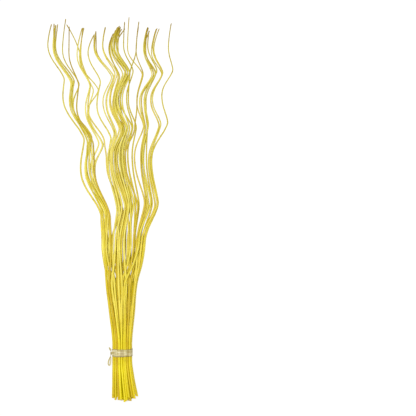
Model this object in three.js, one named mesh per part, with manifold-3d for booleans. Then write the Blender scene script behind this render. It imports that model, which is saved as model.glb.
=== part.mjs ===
// Willow stems: a bunch of dyed, peeled willow rods, crimped into waves and tied once near the cut ends.
// The bunch lies on a table. Millimetres, +Z up, butts at -Y, tips at +Y.
//
// The rods fan out from the tie. Rows of bends cross the whole fan, and every rod swings left, right, left...
// from row to row. Each rod belongs to a lock, a few rods that run close together. The rods are laid one at
// a time, lowest first, and each one rests on the table and on those already there.

import * as THREE from "three";
import Module from "manifold-3d";
import { mergeVertices } from "three/addons/utils/BufferGeometryUtils.js";

// --- Driving dimensions -------------------------------------------------------------------------------

const LENGTH = 748; // from the lowest cut end to an average tip
const BUTT_RADIUS = 2.5; // a rod at its cut end
const MID_THINNING = 0.9; // radius lost in step with the length
const TIP_THINNING = 0.6; // further radius lost towards the tip
const GAP = 0.34; // clear space kept between any two rods
const SIDES = 5; // flats round a rod
const SEED = 41;

const TIE_Y = 96.5; // middle of the tie above the lowest cut end
const TIE_WIDTH = 15; // the tie's strip, along the rods
const TIE_THICKNESS = 0.7;
const TIE_GAP = 0.35; // between the strip and the outermost rods
const TIE_REACH = 13; // rods run straight for this far on both sides of TIE_Y
const TIE_HALF_WIDTH = 18.5; // outermost rods' centres at the tie, before they are pressed together
const TIE_HALF_HEIGHT = 17;
const BUTT_FLARE = 1.33; // the cut ends spread this much wider than the tie, from its left edge
const BUTT_RISE = 1.12; // and this much higher
const SPLAY = 1.2; // beyond that, a cut end strays sideways by up to this much
const CROSSING = 0.15; // how far the rods change places at the foot of the fan, as a share of its half width
const MIDDLE_CUT = 9; // the outermost cut ends are this much shorter than those in the middle
const UNEVEN_CUT = 6; // and beyond that, cut ends differ by up to this much

// Rows of bends, from the foot of the fan to the tips. The fan's edges pass a row at x - spread and
// x + spread. y is the row's height at its middle, tilt is how much higher it is at the right edge than at
// the middle, and sag is how much lower both edges are than that. bend says whether the rods swing left or
// right there; left bends are broad and right ones tight.
const ROWS = [
  { y: 236, tilt: 0, sag: 0, x: -1, spread: 30, bend: "none" },
  { y: 307, tilt: 2, sag: 0, x: 0, spread: 43, bend: "left" },
  { y: 386, tilt: 12, sag: 8, x: 15, spread: 56, bend: "right" },
  { y: 484, tilt: 8, sag: 15, x: -14, spread: 68, bend: "left" },
  { y: 536, tilt: 19, sag: 3, x: 3, spread: 82, bend: "right" },
  { y: 592, tilt: 2, sag: -9, x: -22, spread: 98, bend: "left" },
  { y: 644, tilt: 11, sag: 1, x: -8, spread: 109, bend: "right" },
  { y: 702, tilt: -2, sag: -1, x: -32, spread: 120, bend: "left" },
  { y: LENGTH, tilt: 2, sag: 0, x: -24, spread: 122, bend: "open" },
];

const TIGHTNESS = 0.25; // 0 rounds the right bends off, 1 makes them corners
const EVENING = 0.35; // how far the first row of bends spreads the rods out into an even fan
const MIXING = 0.65; // 0 keeps the rods of a lock side by side, 1 puts them anew at every bend

// Locks of rods. at is where a lock's middle passes each row of bends, from the foot of the fan to the tips,
// measured from the middle of the tie. wide is a lock's width at its foot, at the third row of bends, at the
// rows above that and at its tips. rise shifts its bends along the fan and longer is how far its tips
// stand out.
const LOCKS = [
  { stems: 1, at: [-41, -43, -84, -77, -121, -118, -151, -143], wide: [0, 0, 0, 0], rise: 0, longer: -1 },
  { stems: 5, at: [-31, -31, -66, -64, -104, -100, -137, -133], wide: [12, 18, 6, 4], rise: -1, longer: -3 },
  { stems: 1, at: [-27, -33, -68, -66, -97, -86, -119, -114], wide: [0, 0, 0, 0], rise: -4, longer: 6 },
  { stems: 1, at: [-25, -30, -62, -62, -94, -90, -109, -107], wide: [0, 0, 0, 0], rise: -8, longer: -8 },
  { stems: 1, at: [-24, -30, -59, -39, -70, -49, -84, -113], wide: [0, 0, 0, 0], rise: -28, longer: -4 },
  { stems: 2, at: [-24, -27, -56, -41, -68, -60, -86, -78], wide: [4, 5, 3, 2], rise: -20, longer: -10 },
  { stems: 1, at: [-8, 0, -34, -37, -70, -64, -85, -80], wide: [0, 0, 0, 0], rise: -18, longer: -9 },
  { stems: 3, at: [-10, -7, -26, -14, -35, -20, -55, -55], wide: [8, 7, 4, 2], rise: 0, longer: -16 },
  { stems: 1, at: [-24, -8, -30, -24, -52, -45, -69, -57], wide: [0, 0, 0, 0], rise: -7, longer: -19 },
  { stems: 2, at: [-4, 4, -19, -4, -24, -13, -41, -35], wide: [4, 5, 3, 2], rise: 2, longer: -3 },
  { stems: 2, at: [0, 7, -15, 1, -19, -8, -27, -20], wide: [4, 5, 3, 2], rise: 0, longer: -22 },
  { stems: 10, at: [6, 12, -8, 8, -10, 8, -15, -6], wide: [24, 27, 15, 7], rise: 2, longer: -9 },
  { stems: 1, at: [16, 20, 6, 16, 4, 19, 0, 4], wide: [0, 0, 0, 0], rise: 10, longer: 0 },
  { stems: 1, at: [20, 27, 15, 23, 8, 14, 27, 31], wide: [0, 0, 0, 0], rise: 2, longer: 4 },
  { stems: 1, at: [22, 30, 4, 22, 27, 40, 26, 32], wide: [0, 0, 0, 0], rise: 0, longer: -6 },
  { stems: 1, at: [30, 44, 22, 40, 27, 38, 10, 13], wide: [0, 0, 0, 0], rise: 4, longer: 17 },
  { stems: 6, at: [30, 50, 36, 46, 40, 62, 43, 50], wide: [14, 16, 10, 5], rise: 1, longer: -10 },
  { stems: 3, at: [38, 66, 52, 72, 56, 79, 59, 70], wide: [7, 9, 7, 9], rise: -2, longer: -6 },
  { stems: 1, at: [41, 71, 56, 88, 77, 100, 90, 97], wide: [0, 0, 0, 0], rise: 6, longer: 5 },
];
const WIDE_AT = [0, 0, 1, 2, 2, 2, 2, 3]; // which of a lock's widths each row has
const GATHERED = 0.6; // a lock is this much narrower at its right bends

const STEM_COLOURS = [0xd9c24e, 0xd2b93f, 0xdfcb62, 0xcdb247];
const TIE_COLOUR = 0xd8cb9c;

// --- Small helpers ------------------------------------------------------------------------------------

// Repeatable random numbers from 0 to 1, the same on every run.
function makeRandom(seed) {
  let state = seed;
  return () => {
    state = (state * 1664525 + 1013904223) % 4294967296;
    return state / 4294967296;
  };
}

const random = makeRandom(SEED);
const jitter = (amount) => (random() * 2 - 1) * amount;
const mix = (a, b, t) => a + (b - a) * t;
const clamp01 = (t) => Math.min(1, Math.max(0, t));
const smooth = (t) => t * t * (3 - 2 * t);

function radiusAt(stem, y) {
  const s = clamp01(y / LENGTH);
  return stem.thickness * (BUTT_RADIUS - MID_THINNING * s - TIP_THINNING * s * s);
}

// --- The plan of each rod, seen from above ------------------------------------------------------------

function makeStems() {
  const stems = [];
  for (const lock of LOCKS) {
    for (let i = 0; i < lock.stems; i++) {
      const rank = lock.stems > 1 ? i / (lock.stems - 1) - 0.5 : 0;
      const bends = lock.at.map((x, k) => {
        const wide = lock.wide[WIDE_AT[k]] * (ROWS[k + 1].bend === "right" ? GATHERED : 1);
        return x + wide * mix(rank, random() - 0.5, MIXING) + jitter(1.2);
      });
      const tie = bends[0] / ROWS[1].spread + jitter(0.05);
      stems.push({
        bends,
        tie,
        rise: lock.rise + jitter(5),
        length: LENGTH + lock.longer + jitter(5),
        cut: MIDDLE_CUT * tie * tie + random() * UNEVEN_CUT,
        splay: jitter(SPLAY),
        cross: jitter(CROSSING),
        thickness: 0.95 + jitter(0.09),
      });
    }
  }
  return stems;
}

// Places spread evenly from -1 to 1, in the order of the rods' values.
function evenPlaces(stems, value) {
  const order = [...stems].sort((a, b) => value(a) - value(b));
  return new Map(order.map((stem, rank) => [stem, (2 * rank) / (stems.length - 1) - 1]));
}

// Where a rod passes a row. At the foot of the fan the rods are spread evenly, in the order that they have
// in the tie, and from there each one runs to its own bends.
function rowPoint(stem, index) {
  const row = ROWS[index];
  const even = row.x + row.spread * (stem.evenPlaces[index] ?? 0);
  const own = index === 0 ? even : mix(stem.bends[index - 1], even, index === 1 ? EVENING : 0);
  if (row.bend === "open") {
    return { x: own, y: stem.length, bend: row.bend };
  }
  const u = (own - row.x) / row.spread;
  const y = row.y + row.tilt * u - row.sag * u * u + stem.rise * (row.y / LENGTH) + jitter(2.5);
  return { x: own, y, bend: row.bend };
}

// A rod between one row and the next. It leaves a broad left bend slowly and meets a tight right one at a
// slant, and its tip ends on the way to a right bend.
function between(from, to, t) {
  const leaveBroad = (s) => mix(smooth(Math.pow(s, 1.25)), Math.pow(s, 1.5), TIGHTNESS);
  const share = from.bend === "left" ? leaveBroad(t) : 1 - leaveBroad(1 - t);
  const open = to.bend === "open" ? Math.pow(t, 1.6) : share;
  return { x: mix(from.x, to.x, open), y: mix(from.y, to.y, t) };
}

// All stations of a rod from its cut end to its tip, as seen from above, when its fanned part is moved
// sideways by one distance at the foot of the fan and by another at the top.
function planOf(stem, footShift, topShift) {
  const slot = stem.slot;
  const buttX = -TIE_HALF_WIDTH + (slot.x + TIE_HALF_WIDTH) * BUTT_FLARE + stem.splay;
  const rows = stem.rows.map((row) => {
    const up = clamp01((row.y - ROWS[1].y) / (LENGTH - ROWS[1].y));
    const free = clamp01((row.y - ROWS[0].y - 10) / (ROWS[1].y - ROWS[0].y));
    return { ...row, x: row.x + mix(footShift, topShift, up) * free };
  });
  const low = TIE_Y - TIE_REACH;
  const high = TIE_Y + TIE_REACH;
  const foot = between(rows[0], rows[0], 0);
  const stations = [
    { x: buttX, y: stem.cut },
    { x: mix(buttX, slot.x, 0.62), y: mix(stem.cut, low, 0.5) },
    { x: slot.x, y: low },
    { x: slot.x, y: high },
    { x: mix(slot.x, foot.x, 0.46), y: mix(high, foot.y, 0.5) },
    foot,
    between(rows[0], rows[1], 0.5),
    between(rows[0], rows[1], 1),
  ];
  for (let k = 1; k < rows.length - 1; k++) {
    for (const t of [0.2, 0.4, 0.6, 0.8, 1]) {
      stations.push(between(rows[k], rows[k + 1], t));
    }
  }
  return stations;
}

// --- The cross-section at the tie ---------------------------------------------------------------------

// Presses the rods' circles together round a centre until they almost touch, then lets go by just enough
// that every pair keeps its gap. The lowest rod stands on the strip of the tie, which lies on the table.
function packTie(stems) {
  const places = evenPlaces(stems, (stem) => stem.tie);
  for (const stem of stems) {
    const x = 0.96 * places.get(stem);
    const z = jitter(1) * Math.sqrt(1 - x * x);
    stem.slot = { x: x * TIE_HALF_WIDTH, z: z * TIE_HALF_HEIGHT, r: radiusAt(stem, TIE_Y - TIE_REACH) };
  }
  const slots = stems.map((stem) => stem.slot);
  for (let round = 0; round < 900; round++) {
    for (const slot of slots) {
      slot.x *= 0.9980;
      slot.z *= 0.9984;
    }
    forEachPair(slots, pushApart);
  }
  let grow = 1;
  forEachPair(slots, (a, b) => {
    grow = Math.max(grow, (a.r + b.r + GAP) / Math.hypot(a.x - b.x, a.z - b.z));
  });
  const lowest = Math.min(...slots.map((slot) => slot.z * grow - slot.r));
  const widest = slots.map((slot) => slot.x * grow);
  const middle = (Math.max(...widest) + Math.min(...widest)) / 2;
  for (const slot of slots) {
    slot.x = slot.x * grow - middle;
    slot.z = slot.z * grow - lowest + TIE_THICKNESS + TIE_GAP;
  }
}

function forEachPair(items, act) {
  for (let i = 0; i < items.length; i++) {
    for (let j = i + 1; j < items.length; j++) {
      act(items[i], items[j]);
    }
  }
}

function pushApart(a, b) {
  const dx = b.x - a.x;
  const dz = b.z - a.z;
  const apart = Math.hypot(dx, dz) || 0.001;
  const overlap = a.r + b.r + GAP - apart;
  if (overlap > 0) {
    const move = (overlap / 2 / apart) * 0.9;
    a.x -= dx * move;
    a.z -= dz * move;
    b.x += dx * move;
    b.z += dz * move;
  }
}

// --- Laying the rods down -----------------------------------------------------------------------------

const STEP = 1.6; // spacing of the points where contact is looked for
const SHIFTS = [-7, -4.5, -2, 0, 2, 4.5, 7]; // how far a rod may slide sideways, at its foot and at its top

// Points along a rod's stations, close together, with the share t of the way through segment k.
function finePoints(stem, stations) {
  const points = [];
  for (let k = 0; k < stations.length - 1; k++) {
    const a = stations[k];
    const b = stations[k + 1];
    const count = Math.ceil(Math.hypot(b.x - a.x, b.y - a.y) / STEP);
    for (let i = 0; i <= count; i++) {
      const t = i / count;
      points.push({ k, t, x: mix(a.x, b.x, t), y: mix(a.y, b.y, t) });
    }
  }
  for (const point of points) {
    point.r = radiusAt(stem, point.y);
  }
  return points;
}

// The least height of each fine point, above the table and above every rod laid before.
function supportHeights(points, laid) {
  for (const point of points) {
    point.least = point.r;
  }
  for (const under of laid) {
    let start = 0;
    for (const point of points) {
      const reach = point.r + BUTT_RADIUS + GAP;
      while (start < under.length - 1 && under[start].y < point.y - reach) {
        start++;
      }
      for (let i = start; i < under.length && under[i].y <= point.y + reach; i++) {
        raiseOver(point, under[i]);
      }
    }
  }
}

function raiseOver(point, under) {
  const dx = point.x - under.x;
  const dy = point.y - under.y;
  const need = point.r + under.r + GAP;
  const room = need * need - dx * dx - dy * dy;
  if (room > 0) {
    point.least = Math.max(point.least, under.z + Math.sqrt(room));
  }
}

// Raises the two stations of a segment until the rod clears one fine point. Stations in the tie stay.
function liftAt(stem, point) {
  const a = stem.stations[point.k];
  const b = stem.stations[point.k + 1];
  const shareA = a.held ? 0 : 1 - point.t;
  const shareB = b.held ? 0 : point.t;
  const lack = point.least - mix(a.z, b.z, point.t);
  const weight = shareA * shareA + shareB * shareB;
  if (lack > 0 && weight > 0.02) {
    a.z += (lack * shareA) / weight;
    b.z += (lack * shareB) / weight;
  }
}

// The height that a rod would have with nothing under it: from the tie it comes down to the table, and its
// cut end stands a little off the table with the others.
function freeHeight(stem, y) {
  const landing = 470;
  if (y <= TIE_Y) {
    const out = clamp01((TIE_Y - TIE_REACH - y) / (TIE_Y - TIE_REACH));
    return stem.slot.z * mix(1, BUTT_RISE, out);
  }
  const s = clamp01((y - TIE_Y - TIE_REACH) / (landing - TIE_Y - TIE_REACH));
  return mix(stem.slot.z, radiusAt(stem, y), smooth(s));
}

// A rod slides off the others to a low place near its own: of a few sideways shifts, it takes the one
// that lets it lie lowest for the least shift.
function settle(stem, laid) {
  let best = { cost: Infinity };
  for (const footShift of SHIFTS) {
    for (const topShift of SHIFTS) {
      const stations = planOf(stem, footShift, topShift);
      const points = finePoints(stem, stations);
      supportHeights(points, laid);
      const heights = points.filter((p) => p.y > TIE_Y + TIE_REACH).map((p) => p.least - p.r);
      const mean = heights.reduce((sum, h) => sum + h, 0) / heights.length;
      const cost = mean + 0.5 * Math.max(...heights) + 0.25 * (Math.abs(footShift) + Math.abs(topShift));
      if (cost < best.cost) {
        best = { cost, stations, points };
      }
    }
  }
  stem.stations = best.stations;
  return best.points;
}

function layDown(stem, laid) {
  const points = settle(stem, laid);
  for (const station of stem.stations) {
    station.held = Math.abs(station.y - TIE_Y) < TIE_REACH + 0.5;
    station.z = freeHeight(stem, station.y);
  }
  for (let round = 0; round < 60; round++) {
    if (round < 40) {
      relax(stem);
    }
    points.forEach((point) => liftAt(stem, point));
  }
  for (const point of points) {
    point.z = mix(stem.stations[point.k].z, stem.stations[point.k + 1].z, point.t);
  }
  laid.push(points);
}

// A springy rod evens out its own kinks and sinks a little.
function relax(stem) {
  const stations = stem.stations;
  for (let i = 1; i < stations.length; i++) {
    const here = stations[i];
    const before = stations[i - 1];
    const after = stations[i + 1] ?? before;
    if (!here.held) {
      here.z = mix(here.z, (before.z + after.z) / 2, 0.4) - 0.12;
    }
  }
}

function layAllStems() {
  const stems = makeStems();
  packTie(stems);
  const lowPlaces = evenPlaces(stems, (stem) => stem.slot.x / TIE_HALF_WIDTH + stem.cross);
  const footPlaces = evenPlaces(stems, (stem) => stem.bends[0]);
  for (const stem of stems) {
    stem.evenPlaces = [lowPlaces.get(stem), footPlaces.get(stem)];
    stem.rows = ROWS.map((row, index) => rowPoint(stem, index));
  }
  const laid = [];
  const lowestFirst = [...stems].sort((a, b) => a.slot.z - b.slot.z);
  lowestFirst.forEach((stem) => layDown(stem, laid));
  return stems;
}

// --- Solids -------------------------------------------------------------------------------------------

// A closed, tapered rod along its stations: a cylinder whose rings are moved onto them.
function stemGeometry(stem) {
  const centres = stem.stations.map((s) => new THREE.Vector3(s.x, s.y, s.z));
  const last = centres.length - 1;
  const solid = new THREE.CylinderGeometry(1, 1, 1, SIDES, last);
  solid.deleteAttribute("normal");
  solid.deleteAttribute("uv");
  const geometry = mergeVertices(solid);
  const position = geometry.attributes.position;
  const frame = new THREE.Matrix4();
  for (let i = 0; i < position.count; i++) {
    const ring = Math.round((position.getY(i) + 0.5) * last);
    const ahead = centres[Math.min(last, ring + 1)];
    const behind = centres[Math.max(0, ring - 1)];
    const along = ahead.clone().sub(behind).normalize();
    const side = new THREE.Vector3(0, 0, 1).cross(along).normalize();
    frame.makeBasis(along.clone().cross(side), along, side);
    const radius = radiusAt(stem, centres[ring].y);
    const point = new THREE.Vector3(position.getX(i) * radius, 0, position.getZ(i) * radius);
    point.applyMatrix4(frame).add(centres[ring]);
    position.setXYZ(i, point.x, point.y, point.z);
  }
  geometry.computeVertexNormals();
  return geometry;
}

// The line pulled tight round all the rods in the tie, at a distance off them, as points in x and z: the
// convex outline of circles round the rods.
function tightLine(stems, distance) {
  const points = [];
  const around = 28;
  for (const { slot } of stems) {
    for (let i = 0; i < around; i++) {
      const angle = (i / around) * Math.PI * 2;
      const reach = slot.r + distance;
      points.push(new THREE.Vector2(slot.x + reach * Math.cos(angle), slot.z + reach * Math.sin(angle)));
    }
  }
  points.sort((a, b) => a.x - b.x || a.y - b.y);
  const lower = halfOutline(points);
  const upper = halfOutline(points.reverse());
  return [...lower.slice(0, -1), ...upper.slice(0, -1)];
}

// Walks the sorted points and keeps only left turns.
function halfOutline(points) {
  const kept = [];
  const turn = (a, b, c) => (b.x - a.x) * (c.y - a.y) - (b.y - a.y) * (c.x - a.x);
  for (const point of points) {
    while (kept.length > 1 && turn(kept[kept.length - 2], kept[kept.length - 1], point) <= 0.01) {
      kept.pop();
    }
    kept.push(point);
  }
  return kept;
}

// The strip round the rods: the tight line made thick and drawn out along Y.
function bandGeometry(stems) {
  const outline = new THREE.Shape(tightLine(stems, TIE_GAP + TIE_THICKNESS));
  outline.holes.push(new THREE.Path(tightLine(stems, TIE_GAP).reverse()));
  const band = new THREE.ExtrudeGeometry(outline, { depth: TIE_WIDTH, bevelEnabled: false });
  band.rotateX(Math.PI / 2);
  band.translate(0, TIE_Y + TIE_WIDTH / 2, 0);
  return band;
}

// A flat loose end: a strip of the given half widths along a line of centres, lying in a plane whose
// thickness points along normal.
function stripGeometry(centres, halfWidths, normal) {
  const last = centres.length - 1;
  const geometry = new THREE.BoxGeometry(1, 1, 1, 1, last, 1);
  const position = geometry.attributes.position;
  for (let i = 0; i < position.count; i++) {
    const ring = Math.round((position.getY(i) + 0.5) * last);
    const ahead = centres[Math.min(last, ring + 1)];
    const behind = centres[Math.max(0, ring - 1)];
    const across = ahead.clone().sub(behind).normalize().cross(normal).normalize();
    const point = centres[ring].clone();
    point.addScaledVector(across, position.getX(i) * 2 * halfWidths[ring]);
    point.addScaledVector(normal, position.getZ(i) * TIE_THICKNESS);
    position.setXYZ(i, point.x, point.y, point.z);
  }
  return geometry;
}

function toManifold(wasm, geometry) {
  const bare = geometry.clone();
  bare.deleteAttribute("normal");
  bare.deleteAttribute("uv");
  const merged = mergeVertices(bare, 1e-4);
  return new wasm.Manifold(
    new wasm.Mesh({
      numProp: 3,
      vertProperties: new Float32Array(merged.attributes.position.array),
      triVerts: new Uint32Array(merged.index.array),
    }),
  );
}

function fromManifold(solid) {
  const mesh = solid.getMesh();
  const geometry = new THREE.BufferGeometry();
  geometry.setAttribute("position", new THREE.BufferAttribute(mesh.vertProperties, 3));
  geometry.setIndex(new THREE.BufferAttribute(mesh.triVerts, 1));
  geometry.computeVertexNormals();
  return geometry;
}

// The tie: the strip, its knot at the left flank and the two loose ends that leave the knot.
async function tieGeometry(stems) {
  const wasm = await Module();
  wasm.setup();
  const line = tightLine(stems, TIE_GAP + TIE_THICKNESS);
  const left = line.reduce((a, b) => (b.x < a.x ? b : a));
  const knot = new THREE.SphereGeometry(1, 12, 8);
  knot.scale(2.2, 5.2, 3.4);
  knot.translate(left.x - 1.6, TIE_Y - 1, left.y);
  const at = (dx, dy, dz) => new THREE.Vector3(left.x + dx, TIE_Y + dy, left.y + dz);
  const outward = new THREE.Vector3(0.35, 0, 1).normalize();
  const point = stripGeometry([at(-1.8, 1, 0), at(-3.2, 7, 0.6), at(-4.6, 12, 0.4)], [2, 1.6, 0.3], outward);
  const tail = stripGeometry(
    [at(-2, -2, 0), at(-3.6, -9, -0.8), at(-4.8, -17, -2.6), at(-4.4, -24, -5)],
    [1.8, 2.2, 2.3, 1.2],
    outward,
  );
  const band = toManifold(wasm, bandGeometry(stems));
  const solid = band
    .add(toManifold(wasm, knot).subtract(toManifold(wasm, coreGeometry(stems))))
    .add(toManifold(wasm, point))
    .add(toManifold(wasm, tail));
  return fromManifold(solid);
}

// Everything inside the strip, longer than the knot, to keep the knot out of the rods.
function coreGeometry(stems) {
  const outline = new THREE.Shape(tightLine(stems, TIE_GAP + TIE_THICKNESS / 2));
  const core = new THREE.ExtrudeGeometry(outline, { depth: TIE_REACH * 2, bevelEnabled: false });
  core.rotateX(Math.PI / 2);
  core.translate(0, TIE_Y + TIE_REACH, 0);
  return core;
}

// --- The scene graph ----------------------------------------------------------------------------------

function named(name, geometry, colour, roughness) {
  const material = new THREE.MeshStandardMaterial({ color: colour, roughness, metalness: 0 });
  const mesh = new THREE.Mesh(geometry, material);
  mesh.name = name;
  return mesh;
}

async function buildBunch() {
  const stems = layAllStems();
  const bunch = new THREE.Group();
  bunch.name = "willow_stems";
  stems.forEach((stem, i) => {
    const name = `stem_${String(i + 1).padStart(2, "0")}`;
    bunch.add(named(name, stemGeometry(stem), STEM_COLOURS[i % STEM_COLOURS.length], 0.5));
  });
  bunch.add(named("tie", await tieGeometry(stems), TIE_COLOUR, 0.6));
  const box = new THREE.Box3().setFromObject(bunch);
  const middle = box.getCenter(new THREE.Vector3());
  bunch.position.set(-middle.x, -middle.y, -box.min.z);
  bunch.updateMatrixWorld(true);
  return bunch;
}

export default await buildBunch();
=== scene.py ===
# %% [markdown]
# # A bunch of willow stems
#
# Florists sell willow rods peeled, dyed yellow, pressed into waves while wet and tied in bunches. This lesson
# dresses the measured model of such a bunch, which lies on a table. The model already says where every stem
# runs and where the tie sits. Here each stem gets its round, slightly knotty rod, its cut end and its thin
# brown tip, and the tie gets its raffia. The order is the camera and the table, then the stems, then the tie,
# then the light.

# %% Load the measured model
import math
import random

import bpy
import numpy as np
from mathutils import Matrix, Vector


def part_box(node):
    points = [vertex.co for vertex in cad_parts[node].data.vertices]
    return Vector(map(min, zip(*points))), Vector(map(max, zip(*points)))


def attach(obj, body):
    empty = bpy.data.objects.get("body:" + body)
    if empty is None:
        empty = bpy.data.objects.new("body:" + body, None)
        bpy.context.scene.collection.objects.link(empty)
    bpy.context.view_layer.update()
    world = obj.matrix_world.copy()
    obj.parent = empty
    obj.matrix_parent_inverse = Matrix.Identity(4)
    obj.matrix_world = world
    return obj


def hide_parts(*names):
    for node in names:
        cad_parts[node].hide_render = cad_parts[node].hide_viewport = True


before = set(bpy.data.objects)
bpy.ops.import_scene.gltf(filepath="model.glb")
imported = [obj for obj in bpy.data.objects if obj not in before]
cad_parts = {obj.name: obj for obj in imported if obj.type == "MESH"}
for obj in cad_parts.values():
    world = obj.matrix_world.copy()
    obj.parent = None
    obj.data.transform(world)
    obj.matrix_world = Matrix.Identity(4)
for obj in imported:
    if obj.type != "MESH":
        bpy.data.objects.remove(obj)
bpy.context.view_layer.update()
scene = bpy.context.scene
stem_names = sorted(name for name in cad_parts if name.startswith("stem_"))

# %% [markdown]
# ## Camera and table
#
# A long lens from straight above shows the bunch like a page in a catalogue, with almost no perspective. The
# bunch fills the height of the view and lies left of its middle. The table is one plain white plane, far
# larger than the view, and a low white wall stands all round it in the distance, so a view from the side
# sees white behind the bunch too. Both glow by themselves, which keeps them white everywhere, and reflect
# just enough light for the bunch to throw a faint shadow.

# %% Camera
VIEW_WIDTH = 0.8300  # metres of table across the view
LENS = 100.0
SENSOR = 36.0
RIGHT_OF_TIE = 0.1731  # from the tie to the middle of the view
ABOVE_CUT_ENDS = 0.382

tie_low, tie_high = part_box("tie")
stem_low = min(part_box(name)[0].y for name in stem_names)
look_at = Vector(((tie_low.x + tie_high.x) / 2 + RIGHT_OF_TIE, stem_low + ABOVE_CUT_ENDS, 0.0))

camera_data = bpy.data.cameras.new("camera")
camera_data.lens = LENS
camera_data.sensor_width = SENSOR
camera = bpy.data.objects.new("camera", camera_data)
scene.collection.objects.link(camera)
camera.location = look_at + Vector((0.0, 0.0, VIEW_WIDTH * LENS / SENSOR))
scene.camera = camera
print("camera at", tuple(round(v, 3) for v in camera.location))


# %% A helper for new objects
def add_mesh(name, points, faces):
    """A mesh object at the origin, made from lists of points and faces."""
    mesh = bpy.data.meshes.new(name)
    mesh.from_pydata(points, [], faces)
    mesh.update()
    thing = bpy.data.objects.new(name, mesh)
    scene.collection.objects.link(thing)
    return thing


# %% Table and wall
HALF_TABLE = 26.0
WALL_RADIUS = 24.0
WALL_FOOT = -0.01  # just below the table top, so that no gap shows
WALL_HEIGHT = 6.0
WALL_SIDES = 96

table_corners = [(HALF_TABLE * x, HALF_TABLE * y, 0.0) for x, y in ((-1, -1), (1, -1), (1, 1), (-1, 1))]
table = add_mesh("table", table_corners, [(0, 1, 2, 3)])

angles = [2 * math.pi * i / WALL_SIDES for i in range(WALL_SIDES)]
foot = [(WALL_RADIUS * math.cos(angle), WALL_RADIUS * math.sin(angle), WALL_FOOT) for angle in angles]
top = [(x, y, WALL_HEIGHT) for x, y, z in foot]
corner_pairs = [(i, (i + 1) % WALL_SIDES) for i in range(WALL_SIDES)]
wall = add_mesh("wall", foot + top, [(b, a, WALL_SIDES + a, WALL_SIDES + b) for a, b in corner_pairs])
print("table", 2 * HALF_TABLE, "m wide, wall", WALL_HEIGHT, "m high")

# %% [markdown]
# ## Helpers for materials
#
# Every finish here is a small tree of nodes. Colours are written as people read them, as red, green and blue
# out of 255, and turned into the linear values that the shader works in.


# %% Colours
def colour(red, green, blue):
    """Linear colour from red, green and blue out of 255."""
    channels = []
    for value in (red, green, blue):
        v = value / 255
        channels.append(v / 12.92 if v <= 0.04045 else ((v + 0.055) / 1.055) ** 2.4)
    return (*channels, 1.0)


def grey(value):
    """The same linear value in all three channels."""
    return (value, value, value, 1.0)


BLACK = grey(0.0)
WHITE = grey(1.0)


# %% Nodes
def feed(tree, socket, value):
    """Gives an input socket a plain value, or a link if the value is another node's output."""
    if isinstance(value, bpy.types.NodeSocket):
        tree.links.new(value, socket)
    else:
        socket.default_value = value


def node(tree, kind, inputs=(), **settings):
    """Adds one node. inputs is a dict from socket name to a plain value or to another node's output."""
    made = tree.nodes.new(kind)
    for key, value in settings.items():
        setattr(made, key, value)
    for key, value in dict(inputs).items():
        feed(tree, made.inputs[key], value)
    return made


def new_material(name):
    """An empty material. Returns it with its node tree and its Principled shader."""
    material = bpy.data.materials.new(name)
    material.use_nodes = True
    tree = material.node_tree
    return material, tree, tree.nodes["Principled BSDF"]


# %% Steps that the finishes are made of
MIX_SOCKETS = (0, 6, 7)  # a colour mix has its factor and its two colours in these inputs
MIX_RESULT = 2


def ramp(tree, factor, stops, interpolation="EASE"):
    """A colour ramp from a list of (place, colour)."""
    made = tree.nodes.new("ShaderNodeValToRGB")
    made.color_ramp.interpolation = interpolation
    elements = made.color_ramp.elements
    while len(elements) < len(stops):
        elements.new(0.5)
    for element, (place, tint) in zip(elements, stops):
        element.position = place
        element.color = tint
    feed(tree, made.inputs["Fac"], factor)
    return made.outputs["Color"]


def blend(tree, mode, factor, first, second):
    """Mixes two colours and returns the result."""
    made = node(tree, "ShaderNodeMix", data_type="RGBA", blend_type=mode)
    for index, value in zip(MIX_SOCKETS, (factor, first, second)):
        feed(tree, made.inputs[index], value)
    return made.outputs[MIX_RESULT]


def calculate(tree, operation, *values, clamp=False):
    """One step of arithmetic."""
    made = node(tree, "ShaderNodeMath", operation=operation, use_clamp=clamp)
    for socket, value in zip(made.inputs, values):
        feed(tree, socket, value)
    return made.outputs[0]


def combine(tree, x, y, z):
    """A vector from three numbers."""
    return node(tree, "ShaderNodeCombineXYZ", {"X": x, "Y": y, "Z": z}).outputs[0]


def split(tree, vector):
    """The three numbers of a vector."""
    return node(tree, "ShaderNodeSeparateXYZ", {"Vector": vector}).outputs


# %% White table top
white, _, white_shader = new_material("white_table")
white_shader.inputs["Base Color"].default_value = grey(0.12)
white_shader.inputs["Roughness"].default_value = 0.9
white_shader.inputs["Specular IOR Level"].default_value = 0.1
white_shader.inputs["Emission Color"].default_value = WHITE
white_shader.inputs["Emission Strength"].default_value = 0.9
white.cycles.emission_sampling = "NONE"  # planes this large are met often enough without aiming at them
for stage_piece in (table, wall):
    stage_piece.data.materials.append(white)

# %% [markdown]
# ## The stems' paths
#
# In the measured model a stem is a chain of rings. The middle of each ring is a point of the stem's own line,
# and its corners give the stem's thickness there. Sorting a stem's points from the cut end to the tip and
# taking them ring by ring gives both. A real rod bends in smooth curves, so a spline is laid through the
# middles. Only the stretch inside the tie stays straight, because the tie holds it.

# %% Rings of a stem
RING_GAP = 0.0020  # more than this along Y between two corners means a new ring
TIE_RINGS = (2, 3)  # the rings on either side of the tie


def read_rings(name):
    """The middles and radii of a measured stem's rings, from its cut end to its tip."""
    corners = np.array([v.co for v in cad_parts[name].data.vertices])
    corners = np.unique(np.round(corners, 6), axis=0)
    corners = corners[np.argsort(corners[:, 1])]
    rings = [[corners[0]]]
    for corner in corners[1:]:
        if corner[1] - rings[-1][-1][1] > RING_GAP:
            rings.append([])
        rings[-1].append(corner)
    middles = np.array([np.mean(ring, axis=0) for ring in rings])
    radii = [np.linalg.norm(np.array(ring) - middle, axis=1).max() for ring, middle in zip(rings, middles)]
    return middles, np.array(radii)


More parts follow.
